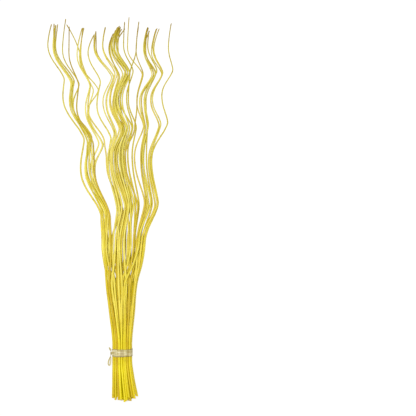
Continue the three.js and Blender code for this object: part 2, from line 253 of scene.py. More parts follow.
rings_of = {name: read_rings(name) for name in stem_names}
first_radii = rings_of[stem_names[0]][1]
print("rings in a stem:", sorted({len(middles) for middles, radii in rings_of.values()}))
print("cut end", round(first_radii[0] * 2000, 2), "mm thick, tip", round(first_radii[-1] * 2000, 2), "mm")

# %% A smooth line through the rings
SPACING = 0.0021  # metres between the finished rings


def smooth_line(middles, radii):
    """Points and radii at even spacing on a spline through the rings, and how far along each one is."""
    chords = np.linalg.norm(np.diff(middles, axis=0), axis=1)
    places = np.concatenate([[0.0], np.cumsum(chords)])
    slopes = np.gradient(middles, places, axis=0)
    first, second = TIE_RINGS
    slopes[first] = slopes[second] = (middles[second] - middles[first]) / chords[first]
    s = np.linspace(0.0, places[-1], int(places[-1] / SPACING) + 1)
    k = np.clip(np.searchsorted(places, s, side="right") - 1, 0, len(chords) - 1)
    u = ((s - places[k]) / chords[k])[:, None]
    span = chords[k][:, None]
    line = (
        (2 * u**3 - 3 * u**2 + 1) * middles[k]
        + (u**3 - 2 * u**2 + u) * span * slopes[k]
        + (3 * u**2 - 2 * u**3) * middles[k + 1]
        + (u**3 - u**2) * span * slopes[k + 1]
    )
    return line, np.interp(s, places, radii), s


# %% [markdown]
# ## What makes it willow
#
# A peeled rod isn't a plain tube. Every few centimetres a bud sat on it, on one side and then on the other,
# and it leaves a small swelling and a slight turn. The rod also swells and thins a little all along. The last
# centimetre is a dry, thin tip, often with a last small bud. The cutters leave a flat, slanted face at the
# other end. All of this is a change of the line and of the radius, so it is worked out here, stem by stem,
# with a fixed seed for each.

# %% Buds, swellings and ends
ANY_TURN = (0, 6.28)  # radians
SWELLS = 4
SWELL_HEIGHT = (0.008, 0.018)  # as a share of the radius
SWELL_LENGTH = (0.006, 0.05)
SWELL_START = (0, 6)
FIRST_BUD = (0.0, 0.03)  # metres from the cut end
BUD_SPACING = (0.026, 0.058)  # metres between buds
BUD_FREE_TIP = 0.004
BUD_SIZE = (0.5, 1.0)
LOW_BUD = 0.35  # the size of a bud at the cut end, as a share of one at the tip
BUD_LENGTH = 0.0016
BUD_HEIGHT = 0.00020
BUD_LEAN = 0.00022  # how far the rod steps aside at a bud
BUD_STRAY = (-0.5, 0.5)  # radians off the opposite side
TIP_TAPER = 0.010  # the thin dry end
TIP_THINNING = (0.05, 0.35)
TIP_BUD_PLACE = 0.003
TIP_BUD_HEIGHT = (0.0, 0.00045)


def bump_at(s, place):
    """A smooth rise to 1 at a place along the stem."""
    return np.exp(-(((s - place) / BUD_LENGTH) ** 2))


def grow(name, line, radii, s):
    """Adds a stem's buds and swellings. Returns its line, radii and how much bud there is at each point."""
    rng = random.Random(name)
    length = s[-1]
    swell = np.zeros(len(s))
    for _ in range(SWELLS):
        height = rng.uniform(*SWELL_HEIGHT)
        swell += height * np.sin(s / rng.uniform(*SWELL_LENGTH) + rng.uniform(*SWELL_START))
    radii = radii * (1 + swell)
    bud = np.zeros(len(s))
    side = rng.uniform(*ANY_TURN)
    place = rng.uniform(*FIRST_BUD)
    while place < length - BUD_FREE_TIP:
        shape = bump_at(s, place)
        size = rng.uniform(*BUD_SIZE) * (LOW_BUD + (1 - LOW_BUD) * place / length)
        bud = np.maximum(bud, shape * size)
        lean = np.array([math.cos(side), 0.0, abs(math.sin(side))]) * BUD_LEAN * size
        line = line + shape[:, None] * lean
        place += rng.uniform(*BUD_SPACING)
        side += math.pi + rng.uniform(*BUD_STRAY)
    radii = radii + BUD_HEIGHT * bud
    end = np.clip((s - (length - TIP_TAPER)) / TIP_TAPER, 0, 1)
    radii = radii * (1 - rng.uniform(*TIP_THINNING) * end**2)
    radii = radii + bump_at(s, length - TIP_BUD_PLACE) * rng.uniform(*TIP_BUD_HEIGHT)
    line[:, 2] = np.maximum(line[:, 2], radii)  # the rod's line stays its own radius above the table
    return line, radii, bud


# %% Closing the two ends
# The rings of the cut are (metres from the cut, share of the radius). From the rim on, a ring has all of it.
CUT_RINGS = [(0.00000, 0.06), (0.00002, 0.30), (0.00004, 0.60), (0.00006, 0.88), (0.00018, 0.975)]
CUT_RIM = 0.0005
# The rings of the tip are (radii past the end of the line, share of the radius).
TIP_RINGS = [(0.30, 0.93), (0.60, 0.76), (0.85, 0.50), (0.98, 0.15)]


def close_ends(line, radii, bud, s):
    """Adds tight rings at both ends, so that the cut face is flat with a crisp rim and the tip is round."""
    start = line[0] - line[1]
    start /= np.linalg.norm(start)
    finish = line[-1] - line[-2]
    finish /= np.linalg.norm(finish)
    cut_depths, cut_shares = np.array(CUT_RINGS).T
    tip_depths, tip_shares = np.array(TIP_RINGS).T
    cut_points = line[0] - start * cut_depths[:, None]
    tip_points = line[-1] + finish * radii[-1] * tip_depths[:, None]
    line = np.vstack([cut_points, line[0] - start * CUT_RIM, line[1:], tip_points])
    girth = np.concatenate([radii[0] * cut_shares, radii, radii[-1] * tip_shares])
    bud = np.concatenate([np.zeros(len(CUT_RINGS)), bud, np.zeros(len(TIP_RINGS))])
    along = np.concatenate([cut_depths, s, s[-1] + radii[-1] * tip_depths])
    return line, girth, bud, along


# %% [markdown]
# ## Helpers for Geometry Nodes
#
# The stems and the strips of the tie are both made by drawing a section along a bare line, whose points carry
# how thick the piece is there. A few steps are the same for both, so each is one short function.


# %% Inputs, attributes and the last steps of a tree
def new_tree(name, sockets):
    """A tree from a line to a result. Returns it, what it is given, and its inputs' identifiers by name."""
    tree = bpy.data.node_groups.new(name, "GeometryNodeTree")
    tree.interface.new_socket("Line", in_out="INPUT", socket_type="NodeSocketGeometry")
    tree.interface.new_socket("Result", in_out="OUTPUT", socket_type="NodeSocketGeometry")
    identifiers = {}
    for label, kind, value in sockets:
        socket = tree.interface.new_socket(label, in_out="INPUT", socket_type=kind)
        if value is not None:
            socket.default_value = value
        identifiers[label] = socket.identifier
    return tree, tree.nodes.new("NodeGroupInput").outputs, identifiers


def read_attribute(tree, name, kind="FLOAT"):
    """A number or a vector that the points carry."""
    return node(tree, "GeometryNodeInputNamedAttribute", {"Name": name}, data_type=kind).outputs["Attribute"]


def store(tree, geometry, name, value, kind="FLOAT"):
    """Gives the points a number or a vector to carry."""
    inputs = {"Geometry": geometry, "Name": name, "Value": value}
    return node(tree, "GeometryNodeStoreNamedAttribute", inputs, data_type=kind, domain="POINT").outputs[0]


def position_of(tree):
    """Where each point is."""
    return tree.nodes.new("GeometryNodeInputPosition").outputs[0]


def sweep(tree, curve, section, size):
    """Draws a section along a curve, and closes both ends."""
    inputs = {"Curve": curve, "Profile Curve": section, "Scale": size, "Fill Caps": True}
    return node(tree, "GeometryNodeCurveToMesh", inputs).outputs["Mesh"]


def push(tree, geometry, direction, amount):
    """Moves the points along a direction."""
    offset = node(tree, "ShaderNodeVectorMath", {0: direction, "Scale": amount}, operation="SCALE").outputs[0]
    return node(tree, "GeometryNodeSetPosition", {"Geometry": geometry, "Offset": offset}).outputs[0]


def end_tree(tree, geometry, finish):
    """Shades the result smooth, makes it real geometry and gives it its material."""
    smooth = node(tree, "GeometryNodeSetShadeSmooth", {"Geometry": geometry, "Shade Smooth": True}).outputs[0]
    whole = node(tree, "GeometryNodeRealizeInstances", {"Geometry": smooth}).outputs[0]
    done = node(tree, "GeometryNodeSetMaterial", {"Geometry": whole, "Material": finish}).outputs[0]
    tree.links.new(done, tree.nodes.new("NodeGroupOutput").inputs["Result"])


# %% [markdown]
# ## Geometry Nodes: from a line to a rod
#
# One tree makes every stem. It takes a bare line, whose points carry their girth, and sweeps a circle along
# it. On the way it stores a place called straight for every point of the skin, as if the stem were pulled
# straight: that is what the grain, the dye and the roughness follow. A little noise in that space makes the
# surface uneven, and a slant at the start tilts the cut face. The same could be done by writing out every
# vertex, but then nothing could be changed afterwards by one number.

# %% The stem tree
SIDES = 12
UNEVENNESS = 0.00010
SKIN_STRETCH = 0.16  # the unevenness changes this much slower along the grain than across it
SKIN_SCALE = 420.0
SLANT_FADE = 0.006  # metres from the cut over which its tilt dies out


def uneven_skin(tree, given, geometry, across, up, along):
    """Pushes the skin in and out along its normals by a noise that runs with the grain."""
    shifted = calculate(tree, "ADD", calculate(tree, "MULTIPLY", along, SKIN_STRETCH), given["Seed"])
    inputs = {"Vector": combine(tree, across, up, shifted), "Scale": SKIN_SCALE, "Detail": 2.0}
    noise = node(tree, "ShaderNodeTexNoise", inputs).outputs[0]
    amount = calculate(tree, "MULTIPLY", calculate(tree, "SUBTRACT", noise, 0.5), given["Unevenness"])
    return push(tree, geometry, tree.nodes.new("GeometryNodeInputNormal").outputs[0], amount)


def slant_cut(tree, given, geometry, across, up, along):
    """Tilts the cut face. The tilt fades out over the first few millimetres of the rod."""
    turn_x = calculate(tree, "MULTIPLY", across, calculate(tree, "COSINE", given["Cut turn"]))
    turn_y = calculate(tree, "MULTIPLY", up, calculate(tree, "SINE", given["Cut turn"]))
    lean = calculate(tree, "MULTIPLY", calculate(tree, "ADD", turn_x, turn_y), given["Cut slant"])
    fade = calculate(tree, "SUBTRACT", 1.0, calculate(tree, "DIVIDE", along, SLANT_FADE), clamp=True)
    heading = read_attribute(tree, "heading", "FLOAT_VECTOR")
    return push(tree, geometry, heading, calculate(tree, "MULTIPLY", lean, fade))


def build_stem_tree():
    """Sweeps a circle along a line of points that carry girth and along."""
    tree, given, identifiers = new_tree(
        "stem_from_line",
        [
            ("Sides", "NodeSocketInt", SIDES),
            ("Unevenness", "NodeSocketFloat", UNEVENNESS),
            ("Cut slant", "NodeSocketFloat", 0.3),
            ("Cut turn", "NodeSocketFloat", 0.0),
            ("Seed", "NodeSocketFloat", 0.0),
            ("Finish", "NodeSocketMaterial", None),
        ],
    )
    circle = node(tree, "GeometryNodeCurvePrimitiveCircle", {"Resolution": given["Sides"], "Radius": 1.0})
    section = store(tree, circle.outputs["Curve"], "rim", position_of(tree), "FLOAT_VECTOR")
    curve = node(tree, "GeometryNodeMeshToCurve", {"Mesh": given["Line"]}).outputs["Curve"]
    tangent = tree.nodes.new("GeometryNodeInputTangent").outputs[0]
    curve = store(tree, curve, "heading", tangent, "FLOAT_VECTOR")
    girth = read_attribute(tree, "girth")
    skin = sweep(tree, curve, section, girth)
    rim = split(tree, read_attribute(tree, "rim", "FLOAT_VECTOR"))
    across = calculate(tree, "MULTIPLY", rim[0], girth)
    up = calculate(tree, "MULTIPLY", rim[1], girth)
    along = read_attribute(tree, "along")
    skin = store(tree, skin, "straight", combine(tree, across, up, along), "FLOAT_VECTOR")
    skin = uneven_skin(tree, given, skin, across, up, along)
    skin = slant_cut(tree, given, skin, across, up, along)
    end_tree(tree, skin, given["Finish"])
    return tree, identifiers


stem_tree, stem_sockets = build_stem_tree()
print("stem tree with", len(stem_tree.nodes), "nodes and inputs", ", ".join(stem_sockets))

# %% [markdown]
# ## Dyed willow
#
# The dye takes best on the thick, open wood by the cut end, so the rods are a deep golden yellow there and
# turn paler and duller upwards. Fine streaks follow the grain, the bud scars stay a little brown, and the dry
# tips are olive brown. The face of the cut is bare wood with a small pith. No two stems take the dye alike,
# so each carries how strong its dye is in an attribute called dye, and how far it leans to amber in one
# called shade. The finish has a soft sheen.

# %% The dye from the cut end to the tip
STRONG_DYE = [
    (0.0, colour(206, 183, 0)),
    (0.16, colour(207, 184, 0)),
    (0.40, colour(208, 189, 2)),
    (0.72, colour(196, 181, 28)),
    (0.93, colour(185, 170, 18)),
    (1.0, colour(158, 136, 4)),
]
WEAK_DYE = [
    (0.0, colour(238, 228, 0)),
    (0.13, colour(241, 230, 40)),
    (0.25, colour(243, 233, 100)),
    (0.6, colour(233, 224, 120)),
    (0.93, colour(228, 219, 108)),
    (1.0, colour(200, 182, 40)),
]
AMBER = [(0.0, colour(240, 228, 170)), (0.45, WHITE)]
STREAK = [(0.34, colour(222, 208, 166)), (0.62, WHITE)]
PATCHINESS = 1.1  # how much the strength of the dye varies within a stem


# %% Reading attributes and noises in a finish
def attribute(tree, name):
    """What a piece carries under a name, as the outputs of a node."""
    return node(tree, "ShaderNodeAttribute", attribute_name=name, attribute_type="GEOMETRY").outputs


def grain_noise(tree, place, stretch, scale, detail, roughness=0.5):
    """A noise drawn out along the piece. The smaller stretch is, the longer its marks are."""
    mapped = node(tree, "ShaderNodeMapping", {"Vector": place, "Scale": (1.0, 1.0, stretch)}).outputs[0]
    inputs = {"Vector": mapped, "Scale": scale, "Detail": detail, "Roughness": roughness}
    return node(tree, "ShaderNodeTexNoise", inputs).outputs[0]


# %% Marks, tip and cut
CUT_DEPTH = 0.00012  # metres of the stem that count as the face of the cut
PER_CUT_RADIUS = 360.0  # turns metres from the axis into a share of a thick stem's radius
CUT_WOOD = [
    (0.0, colour(112, 84, 40)),
    (0.16, colour(150, 118, 54)),
    (0.24, colour(232, 206, 118)),
    (0.70, colour(224, 196, 84)),
    (0.92, colour(196, 158, 24)),
]


def brown_marks(tree, skin, place):
    """Bud scars and a few small stains."""
    specks = grain_noise(tree, place, 0.4, 650.0, 2.0)
    speckled = ramp(tree, specks, [(0.35, BLACK), (0.6, WHITE)], "LINEAR")
    scar = calculate(tree, "MULTIPLY", attribute(tree, "bud")["Fac"], speckled)
    skin = blend(tree, "MIX", calculate(tree, "MULTIPLY", scar, 0.65), skin, colour(128, 92, 34))
    stains = grain_noise(tree, place, 0.12, 90.0, 4.0, 0.7)
    stained = ramp(tree, stains, [(0.60, BLACK), (0.80, grey(0.55))], "LINEAR")
    return blend(tree, "MULTIPLY", stained, skin, colour(206, 178, 92))


def brown_tip(tree, skin):
    """The dry end: its brown is carried in the attribute tip, from 0 to 1."""
    return blend(tree, "MIX", attribute(tree, "tip")["Fac"], skin, colour(142, 116, 4))


def cut_face(tree, skin, place):
    """Bare wood and pith on the face of the cut, by the distance from the stem's own axis."""
    across, up, along = split(tree, place)
    flat = combine(tree, across, up, 0.0)
    outwards = node(tree, "ShaderNodeVectorMath", {0: flat}, operation="LENGTH").outputs["Value"]
    wood = ramp(tree, calculate(tree, "MULTIPLY", outwards, PER_CUT_RADIUS), CUT_WOOD)
    return blend(tree, "MIX", calculate(tree, "LESS_THAN", along, CUT_DEPTH), skin, wood)


# %% The willow finish
def make_willow():
    """Peeled willow rod, dyed yellow."""
    material, tree, shader = new_material("dyed_willow")
    place = attribute(tree, "straight")["Vector"]
    share = attribute(tree, "share")["Fac"]
    patches = grain_noise(tree, place, 0.10, 220.0, 3.0)
    streaks = grain_noise(tree, place, 0.035, 1500.0, 3.0, 0.6)
    uneven = calculate(tree, "MULTIPLY", calculate(tree, "SUBTRACT", patches, 0.5), PATCHINESS)
    strength = calculate(tree, "ADD", attribute(tree, "dye")["Fac"], uneven, clamp=True)
    skin = blend(tree, "MIX", strength, ramp(tree, share, WEAK_DYE), ramp(tree, share, STRONG_DYE))
    skin = blend(tree, "MULTIPLY", 0.5, skin, ramp(tree, streaks, STREAK))
    skin = blend(tree, "MULTIPLY", 1.0, skin, ramp(tree, attribute(tree, "shade")["Fac"], AMBER, "LINEAR"))
    skin = brown_marks(tree, skin, place)
    skin = brown_tip(tree, skin)
    skin = cut_face(tree, skin, place)
    tree.links.new(skin, shader.inputs["Base Color"])
    gloss = ramp(tree, streaks, [(0.3, grey(0.52)), (0.7, grey(0.34))], "LINEAR")
    tree.links.new(gloss, shader.inputs["Roughness"])
    shader.inputs["Specular IOR Level"].default_value = 0.3
    height = calculate(tree, "ADD", streaks, calculate(tree, "MULTIPLY", patches, 0.6))
    bump = node(tree, "ShaderNodeBump", {"Height": height, "Strength": 0.15, "Distance": 0.00012})
    tree.links.new(bump.outputs[0], shader.inputs["Normal"])
    return material


willow = make_willow()
print("willow finish with", len(willow.node_tree.nodes), "nodes")

# %% [markdown]
# ## Making the stems
#
# Each stem is built from its own line, turned into a plain mesh and named after the measured stem that it
# stands for.


# %% From a line to a mesh
def line_object(name, line, carried, closed=False):
    """A chain of edges, open or closed into a ring. Its points carry the given numbers and vectors."""
    count = len(line)
    edges = [(i, i + 1) for i in range(count - 1)]
    if closed:
        edges.append((count - 1, 0))
    mesh = bpy.data.meshes.new(name + "_line")
    mesh.from_pydata([tuple(point) for point in line], edges, [])
    for key, values in carried.items():
        values = np.asarray(values, dtype=np.float32)
        kind, field = ("FLOAT", "value") if values.ndim == 1 else ("FLOAT_VECTOR", "vector")
        mesh.attributes.new(key, kind, "POINT").data.foreach_set(field, values.ravel())
    thing = bpy.data.objects.new(name + "_line", mesh)
    scene.collection.objects.link(thing)
    return thing


def run_tree(thing, tree, sockets, settings, name):
    """Runs a Geometry Nodes tree on an object and returns its result as a plain mesh object."""
    modifier = thing.modifiers.new("nodes", "NODES")
    modifier.node_group = tree
    for key, value in settings.items():
        modifier[sockets[key]] = value
    graph = bpy.context.evaluated_depsgraph_get()
    mesh = bpy.data.meshes.new_from_object(thing.evaluated_get(graph), depsgraph=graph)
    mesh.name = name
    result = bpy.data.objects.new(name, mesh)
    scene.collection.objects.link(result)
    bpy.data.objects.remove(thing)
    return result


# %% The stems
BROWN_LENGTH = (0.006, 0.03)  # metres of brown at the tip
BROWN_DEPTH = (0.35, 0.95)
BROWN_FADE = 1.3
CUT_SLANT = (0.1, 0.75)
NOISE_SEED = (0, 50)


def make_stem(name):
    """One finished stem."""
    rng = random.Random("dye " + name)
    middles, radii = rings_of[name]
    line, thick, s = smooth_line(middles, radii)
    line, thick, bud = grow(name, line, thick, s)
    line, girth, bud, along = close_ends(line, thick, bud, s)
    brown_length = rng.uniform(*BROWN_LENGTH)
    brown = np.clip((along - (s[-1] - brown_length)) / brown_length, 0, 1) ** BROWN_FADE
    carried = {
        "girth": girth,
        "along": along,
        "share": np.clip(along / s[-1], 0, 1),
        "bud": bud,
        "tip": rng.uniform(*BROWN_DEPTH) * brown,
        "dye": np.full(len(line), rng.uniform(0.0, 1.0)),
        "shade": np.full(len(line), rng.uniform(0.0, 1.0)),
    }
    settings = {
        "Sides": SIDES,
        "Unevenness": UNEVENNESS,
        "Cut slant": rng.uniform(*CUT_SLANT),
        "Cut turn": rng.uniform(*ANY_TURN),
        "Seed": rng.uniform(*NOISE_SEED),
        "Finish": willow,
    }
    stem = run_tree(line_object(name, line, carried), stem_tree, stem_sockets, settings, "willow_" + name)
    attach(stem, "root")
    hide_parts(name)
    return stem


stems = [make_stem(name) for name in stem_names]
print(len(stems), "stems,", sum(len(stem.data.polygons) for stem in stems), "faces")

# %% [markdown]
# ## The tie
#
# A flat strip of raffia goes twice round the bunch and is knotted at its left flank. It is pulled tight, so
# it lies in straight spans from one outer stem to the next and sinks a little into the gaps between them. The
# path round the bunch is the convex outline of the stems' circles.

# %% The tight line round the stems
CIRCLE_POINTS = 48
LOOP_POINTS = 360
STRIP_LIFT = 0.00035  # from a stem's skin to the middle of the strip


def turns_left(a, b, c):
    """Whether the way from a over b to c turns left."""
    return (b[0] - a[0]) * (c[1] - a[1]) > (b[1] - a[1]) * (c[0] - a[0])


def outline_round(circles, lift):
    """The convex outline of circles (x, z, r) that are grown by lift, as points in order round the bunch."""
    angles = np.linspace(0, 2 * math.pi, CIRCLE_POINTS, endpoint=False)
    points = []
    for x, z, r in circles:
        points += [(x + (r + lift) * math.cos(angle), z + (r + lift) * math.sin(angle)) for angle in angles]
    points.sort()
    outline = []
    for run in (points, points[::-1]):
        kept = []
        for point in run:
            while len(kept) > 1 and not turns_left(kept[-2], kept[-1], point):
                kept.pop()
            kept.append(point)
        outline += kept[:-1]
    return np.array(outline)


def even_loop(points, count):
    """Evenly spaced points on a closed outline, from its leftmost point on, and its length."""
    start = int(np.argmin(points[:, 0]))
    closed = np.vstack([points[start:], points[: start + 1]])
    lengths = np.concatenate([[0], np.cumsum(np.linalg.norm(np.diff(closed, axis=0), axis=1))])
    s = np.linspace(0, lengths[-1], count, endpoint=False)
    return np.column_stack([np.interp(s, lengths, closed[:, k]) for k in range(2)]), lengths[-1]


circles = []
for name in stem_names:
    middles, radii = rings_of[name]
    circles.append((middles[TIE_RINGS[0]][0], middles[TIE_RINGS[0]][2], radii[TIE_RINGS[0]]))
loop, loop_length = even_loop(outline_round(circles, STRIP_LIFT), LOOP_POINTS)
print("once round the bunch is", round(loop_length * 1000, 1), "mm")

# %% Where the strip touches a stem
CONTACT_FADE = 0.0012  # metres off the nearest stem at which nothing of the touch is left


def touch(loop):
    """From 1 where the outline lies on a stem to 0 in the middle of a gap."""
    centres = np.array([(x, z) for x, z, r in circles])
    radii = np.array([r for x, z, r in circles])
    away = np.linalg.norm(loop[:, None, :] - centres[None], axis=2) - radii[None]
    return np.clip(1 - (away.min(axis=1) - STRIP_LIFT) / CONTACT_FADE, 0, 1)


# The raffia finish paints shade over the gaps from this touch.
contact = touch(loop)
print("share of the strip on stems:", round(float((contact > 0.9).mean()), 2))

# %% [markdown]
# ## Geometry Nodes: from a line to a strip
#
# The band, the knot and its two loose ends are all the same flat leaf strip, so one tree makes them. It
# sweeps a thin lens, thick in the middle and sharp at its edges, along a line. The line's points say which
# way is outwards and how much the strip is gathered there. Raffia dries in lengthwise folds, so a noise that
# is drawn out along the strip lifts and lowers it, and the edges curl away from what they lie on.

# %% The strip tree
FOLD_STRETCH = 0.06
FOLD_SCALE = 560.0
FOLD_MIDDLE = 0.45  # the value of the noise that leaves the strip where it is


def strip_section(tree, given):
    """The strip's section: a flat lens whose points remember their place across the strip."""
    inputs = {"Resolution": given["Section points"], "Radius": 0.5}
    circle = node(tree, "GeometryNodeCurvePrimitiveCircle", inputs)
    size = combine(tree, given["Thickness"], given["Width"], 0.0)
    inputs = {0: position_of(tree), 1: size}
    lens = node(tree, "ShaderNodeVectorMath", inputs, operation="MULTIPLY").outputs[0]
    inputs = {"Geometry": circle.outputs["Curve"], "Position": lens}
    section = node(tree, "GeometryNodeSetPosition", inputs).outputs[0]
    return store(tree, section, "rim", position_of(tree), "FLOAT_VECTOR")


def fold_and_curl(tree, given, across, to_edge, along):
    """How far the strip is lifted by its folds and by its curled edges."""
    place = combine(tree, across, given["Seed"], calculate(tree, "MULTIPLY", along, FOLD_STRETCH))
    inputs = {"Vector": place, "Scale": FOLD_SCALE, "Detail": 1.5, "Roughness": 0.45}
    noise = node(tree, "ShaderNodeTexNoise", inputs).outputs[0]
    fold = calculate(tree, "MULTIPLY", calculate(tree, "SUBTRACT", noise, FOLD_MIDDLE), given["Fold height"])
    curl = calculate(tree, "MULTIPLY", calculate(tree, "POWER", to_edge, 4.0), given["Edge curl"])
    return calculate(tree, "ADD", fold, curl)


def build_strip_tree():
    """Sweeps a thin flat section along a line of points that carry outward, gather and along."""
    tree, given, identifiers = new_tree(
        "strip_from_line",
        [
            ("Width", "NodeSocketFloat", 0.0135),
            ("Thickness", "NodeSocketFloat", 0.00035),
            ("Section points", "NodeSocketInt", 48),
            ("Fold height", "NodeSocketFloat", 0.0005),
            ("Edge curl", "NodeSocketFloat", 0.0003),
            ("Seed", "NodeSocketFloat", 0.0),
            ("Finish", "NodeSocketMaterial", None),
        ],
    )
    curve = node(tree, "GeometryNodeMeshToCurve", {"Mesh": given["Line"]}).outputs["Curve"]
    outward = read_attribute(tree, "outward", "FLOAT_VECTOR")
    inputs = {"Curve": curve, "Normal": outward}
    curve = node(tree, "GeometryNodeSetCurveNormal", inputs, mode="FREE").outputs[0]
    skin = sweep(tree, curve, strip_section(tree, given), read_attribute(tree, "gather"))
    rim = split(tree, read_attribute(tree, "rim", "FLOAT_VECTOR"))
    along = read_attribute(tree, "along")
    skin = store(tree, skin, "straight", combine(tree, rim[1], rim[0], along), "FLOAT_VECTOR")
    share = calculate(tree, "DIVIDE", rim[1], given["Width"])
    to_edge = calculate(tree, "ABSOLUTE", calculate(tree, "MULTIPLY", share, 2.0))
    skin = store(tree, skin, "edge", to_edge)
    skin = push(tree, skin, outward, fold_and_curl(tree, given, rim[1], to_edge, along))
    end_tree(tree, skin, given["Finish"])
    return tree, identifiers


strip_tree, strip_sockets = build_strip_tree()
print("strip tree with", len(strip_tree.nodes), "nodes and inputs", ", ".join(strip_sockets))

# %% [markdown]
# ## Raffia
#
# Dry raffia is a pale straw colour with a faint shine. Fine fibres run along it. Its edges are darker,
# partly its own curled edges and partly painted shade along them. Where it lies tight on a stem it is
# palest, and over the gaps between stems it has painted shade. The fibres follow the strip's own
# coordinates, so they turn with it.

# %% The raffia finish
STRAW = [(0.30, colour(188, 178, 120)), (0.50, colour(210, 201, 150)), (0.70, colour(242, 239, 218))]
# Painted shade: over the gaps between stems the raffia is darkened towards this colour.
PAINTED_GAP_SHADE = [(0.0, colour(176, 160, 98)), (0.75, WHITE)]
FIBRE = [(0.35, colour(206, 190, 146)), (0.6, WHITE)]
STRAW_PATCH = [(0.35, colour(226, 214, 180)), (0.6, WHITE)]
# Darker edges: partly the raffia's own curled edges and partly painted shade along them.
ROLLED_EDGE_AND_SHADE = [(0.84, BLACK), (0.97, WHITE)]


def make_raffia():
    """Dry raffia, which carries contact, edge and rolled."""
    material, tree, shader = new_material("dry_raffia")
    place = attribute(tree, "straight")["Vector"]
    fibres = grain_noise(tree, place, 0.02, 2600.0, 3.0, 0.6)
    bands = grain_noise(tree, place, 0.05, 420.0, 2.0)
    patches = grain_noise(tree, place, 0.6, 160.0, 3.0)
    # Painted shade over the gaps, by how closely the strip touches a stem.
    painted_gap_shade = ramp(tree, attribute(tree, "contact")["Fac"], PAINTED_GAP_SHADE, "LINEAR")
    skin = blend(tree, "MULTIPLY", 0.55, ramp(tree, bands, STRAW), painted_gap_shade)
    skin = blend(tree, "MULTIPLY", 0.6, skin, ramp(tree, fibres, FIBRE))
    skin = blend(tree, "MULTIPLY", 0.7, skin, ramp(tree, patches, STRAW_PATCH))
    # Darker edges, partly the raffia's own curled edges and partly painted shade along them.
    rim = ramp(tree, attribute(tree, "edge")["Fac"], ROLLED_EDGE_AND_SHADE, "LINEAR")
    rim = calculate(tree, "MULTIPLY", rim, attribute(tree, "rolled_and_shaded")["Fac"])
    skin = blend(tree, "MIX", rim, skin, colour(112, 94, 50))
    tree.links.new(skin, shader.inputs["Base Color"])
    gloss = ramp(tree, fibres, [(0.3, grey(0.55)), (0.7, grey(0.33))], "LINEAR")
    tree.links.new(gloss, shader.inputs["Roughness"])
    shader.inputs["Specular IOR Level"].default_value = 0.5
    height = calculate(tree, "ADD", fibres, calculate(tree, "MULTIPLY", bands, 0.5))
    bump = node(tree, "ShaderNodeBump", {"Height": height, "Strength": 0.5, "Distance": 0.0001})
    tree.links.new(bump.outputs[0], shader.inputs["Normal"])
    return material


raffia = make_raffia()
print("raffia finish with", len(raffia.node_tree.nodes), "nodes")


# %% One strip
def make_strip(name, line, outward, gather, contact, rolled_and_shaded, closed, settings):
    """A finished strip of raffia along a line, closed into a ring or open."""
    count = len(line)
    along = np.concatenate([[0], np.cumsum(np.linalg.norm(np.diff(line, axis=0), axis=1))])
    rolled_and_shaded = np.full(count, rolled_and_shaded)
    carried = {"gather": gather, "along": along, "contact": contact, "rolled_and_shaded": rolled_and_shaded, "outward": outward}
    thing = line_object(name, line, carried, closed)
    strip = run_tree(thing, strip_tree, strip_sockets, {**settings, "Finish": raffia}, name)
    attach(strip, "root")
    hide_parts("tie")
    return strip


# %% [markdown]
# ## The band
#
# Two turns lie nearly on each other. The under turn runs a little lower at the left and a little higher at
# the right, so its edge shows. Both sink into the gaps between stems and are gathered towards the knot.

# %% The two turns
TIE_Y = sum(rings_of[stem_names[0]][0][ring][1] for ring in TIE_RINGS) / 2
KNOT_GATHER = 0.80  # the share of its width that the strip has at the knot
GATHER_REACH = 0.009  # metres from the knot to its full width
# The band gets strongly darkened edges, partly painted shade; the loose ends get little.
BAND_ROLLED_AND_SHADED = 0.85  # how dark the band's edges are


def smooth_round(values, reach):
    """Evens out numbers that go round the bunch, over so many points to either side."""
    kernel = np.hanning(2 * reach + 1)
    kernel /= kernel.sum()
    padded = np.concatenate([values[-reach:], values, values[:reach]])
    return np.convolve(padded, kernel, mode="valid")


def turn(name, lift, dip, height, slant, width, seed):
    """One turn of the strip. It lies height above the tie's middle and climbs by slant from left to right."""
    ahead = np.roll(loop, -1, axis=0) - np.roll(loop, 1, axis=0)
    ahead /= np.linalg.norm(ahead, axis=1)[:, None]
    out_x = smooth_round(ahead[:, 1], reach=6)
    out_z = smooth_round(-ahead[:, 0], reach=6)
    size = np.hypot(out_x, out_z)
    out_x, out_z = out_x / size, out_z / size
    sink = smooth_round(1 - contact, reach=5) * dip
    x = loop[:, 0] + out_x * (lift - sink)
    z = loop[:, 1] + out_z * (lift - sink)
    y = TIE_Y + height + slant * (x - x.mean()) / (x.max() - x.min())
    steps = np.arange(LOOP_POINTS)
    from_knot = np.minimum(steps, LOOP_POINTS - steps) * loop_length / LOOP_POINTS
    gather = KNOT_GATHER + (1 - KNOT_GATHER) * np.clip(from_knot / GATHER_REACH, 0, 1) ** 0.7
    line = np.column_stack([x, y, z])
    outward = np.column_stack([out_x, np.zeros(LOOP_POINTS), out_z])
    # How much the band touches a stem, which sets its painted gap shade.
    touching = smooth_round(contact, reach=3)
    settings = {"Width": width, "Seed": seed, "Fold height": 0.0005, "Edge curl": 0.00025}
    return make_strip(name, line, outward, gather, touching, BAND_ROLLED_AND_SHADED, True, settings)


under_turn = turn(
    "raffia_under_turn", lift=0.0, dip=0.0005, height=-0.0004, slant=0.0016, width=0.0140, seed=3.0
)
outer_turn = turn(
    "raffia_outer_turn", lift=0.0005, dip=0.0006, height=0.0003, slant=-0.0006, width=0.0135, seed=8.0
)
print("band faces:", len(under_turn.data.polygons) + len(outer_turn.data.polygons))

# %% [markdown]
# ## The knot and its ends
#
# The two ends cross at the left flank. Each goes once over the other, and then one stands up as a short point
# while the other hangs down and doubles back in a small narrow loop. Their lines are spelled out as steps
# from the knot's middle, in millimetres.

# %% A smooth path through a few points
STEP_SAMPLES = 24


def between(a, b, c, d, u):
    """A point on the smooth curve from b to c, at the share u of the way. a and d are their neighbours."""
    return 0.5 * (2 * b + (c - a) * u + (2 * a - 5 * b + 4 * c - d) * u**2 + (3 * b - a - 3 * c + d) * u**3)


